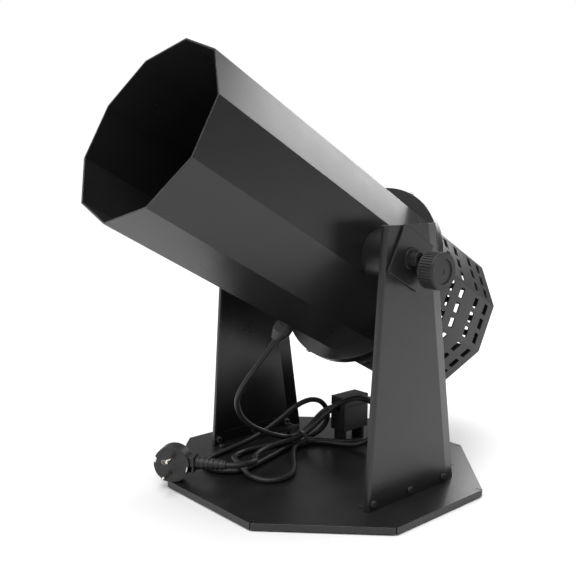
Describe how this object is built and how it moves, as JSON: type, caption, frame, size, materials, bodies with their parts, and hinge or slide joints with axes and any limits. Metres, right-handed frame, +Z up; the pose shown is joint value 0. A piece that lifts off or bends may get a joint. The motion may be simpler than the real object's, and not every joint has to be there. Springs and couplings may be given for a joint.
{
  "type": "stage effect blower on a tilt stand",
  "caption": "Ten-sided black blower barrel with perforated rear guard on a lockable tilt stand with an eight-sided base pan and tied mains cord.",
  "frame": {"origin": "middle of the overall box without the cord, on the ground under the feet", "axes": "+Z up; -Y towards the barrel's mouth; X along the tilt axis, +X to the right seen from the mouth's side looking along +Y"},
  "size_m": [0.32, 0.4782, 0.4374],
  "materials": {
    "satin_black_paint": "satin powder coat, near black",
    "black_steel": "blackened steel fasteners",
    "bright_zinc": "zinc-plated steel",
    "foot_rubber": "matt black rubber",
    "friction_lining": "brown pressed fibre",
    "motor_alloy": "cast aluminium, as cast",
    "capacitor_plastic": "off-white thermoplastic",
    "terminal_plastic": "natural polyamide",
    "gland_plastic": "black polyamide",
    "fan_plastic": "black moulded fan",
    "knob_plastic": "black moulded grip, fine texture",
    "cord_sheath": "black PVC or rubber sheath, soft sheen",
    "tie_plastic": "black tie",
    "choke_plastic": "black moulded case",
    "ferrite": "dark sintered ferrite",
    "plug_rubber": "black moulded plug",
    "pin_nickel": "nickel-plated brass"
  },
  "bodies": {
    "base": {"base_plate": "satin_black_paint", "base_feet": "foot_rubber", "foot_screws": "black_steel", "stand_left": "satin_black_paint", "stand_right": "satin_black_paint", "angle_left": "satin_black_paint", "angle_right": "satin_black_paint", "stand_screws": "black_steel", "stand_nuts": "bright_zinc", "angle_rivets": "black_steel", "power_cord": "cord_sheath", "cord_tie": "tie_plastic", "choke_case": "choke_plastic", "choke_core": "ferrite", "choke_feet": "choke_plastic", "plug_body": "plug_rubber", "plug_pins": "pin_nickel", "plug_earth": "pin_nickel", "plug_relief": "plug_rubber"},
    "head": {"barrel": "satin_black_paint", "collar": "satin_black_paint", "collar_screws": "bright_zinc", "guard": "satin_black_paint", "guard_end": "satin_black_paint", "guard_tabs": "satin_black_paint", "pivot_blocks": "satin_black_paint", "block_screws": "bright_zinc", "friction_discs": "friction_lining", "pivot_sleeves": "bright_zinc", "clamp_plates": "satin_black_paint", "pivot_washers": "black_steel", "pivot_bolts": "black_steel", "lock_studs": "bright_zinc", "motor_bracket": "satin_black_paint", "bracket_screws": "bright_zinc", "motor_can": "motor_alloy", "motor_end_front": "motor_alloy", "motor_end_rear": "motor_alloy", "motor_bearings": "bright_zinc", "capacitor": "capacitor_plastic", "capacitor_clip": "bright_zinc", "terminal_block": "terminal_plastic", "gland_body": "gland_plastic", "gland_cap": "gland_plastic", "gland_seal": "foot_rubber", "gland_locknut": "gland_plastic"},
    "rotor": {"motor_shaft": "bright_zinc", "fan_hub": "fan_plastic", "fan_blades": "fan_plastic"},
    "knob_l": {"knob_left": "knob_plastic", "knob_cap_left": "knob_plastic"},
    "knob_r": {"knob_right": "knob_plastic", "knob_cap_right": "knob_plastic"}
  },
  "joints": [
    {"name": "head_tilt", "type": "hinge", "parent": "base", "child": "head", "pos_m": [0, 0.01007, 0.2445], "axis": [-1, 0, 0], "range_deg": [-28, 7], "deforming": ["power_cord"]},
    {"name": "fan_spin", "type": "hinge", "parent": "head", "child": "rotor", "pos_m": [0, 0.01148, 0.24715], "axis": [0, -0.8829, 0.4695], "continuous": true},
    {"name": "knob_left_turn", "type": "hinge", "parent": "head", "child": "knob_l", "pos_m": [-0.14, 0.02224, 0.23411], "axis": [-1, 0, 0], "range_deg": [0, 360]},
    {"name": "knob_right_turn", "type": "hinge", "parent": "head", "child": "knob_r", "pos_m": [0.14, 0.02224, 0.23411], "axis": [1, 0, 0], "range_deg": [0, 360]}
  ]
}
